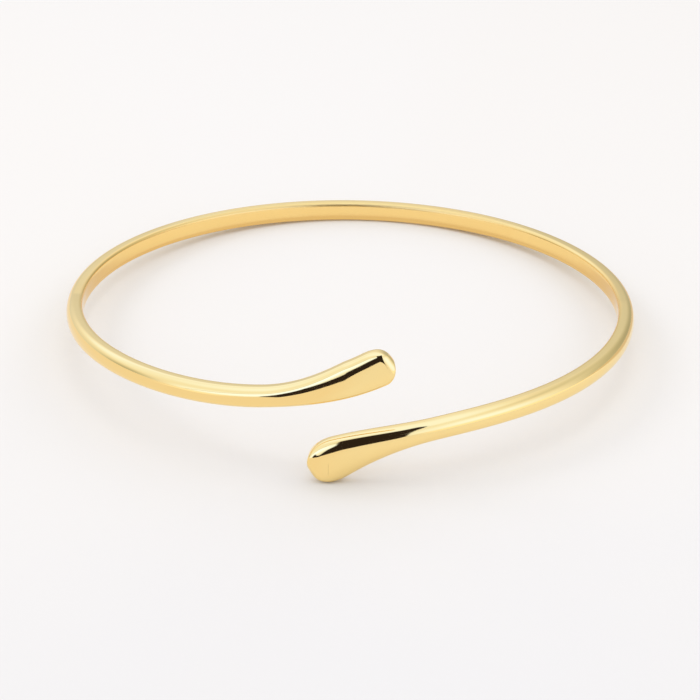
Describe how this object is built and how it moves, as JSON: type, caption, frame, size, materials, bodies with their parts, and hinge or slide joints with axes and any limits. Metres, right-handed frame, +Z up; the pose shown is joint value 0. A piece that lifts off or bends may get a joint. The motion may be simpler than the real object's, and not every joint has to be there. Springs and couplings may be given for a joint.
{
  "type": "open bypass armlet",
  "caption": "Open bypass armlet bent from polished gold-plated wire, with flattened drop ends that pass each other at the front.",
  "frame": {"origin": "middle of the bounding box, on the table that the armlet lies on", "axes": "+Z up from the table, -Y towards the front where the drops pass each other, +X to the right as seen from the front"},
  "size_m": [0.0874, 0.088, 0.0204],
  "materials": {
    "gold_plate": "mirror-polished gold plating over brass"
  },
  "bodies": {
    "root": {"cuff": "gold_plate"}
  },
  "joints": []
}
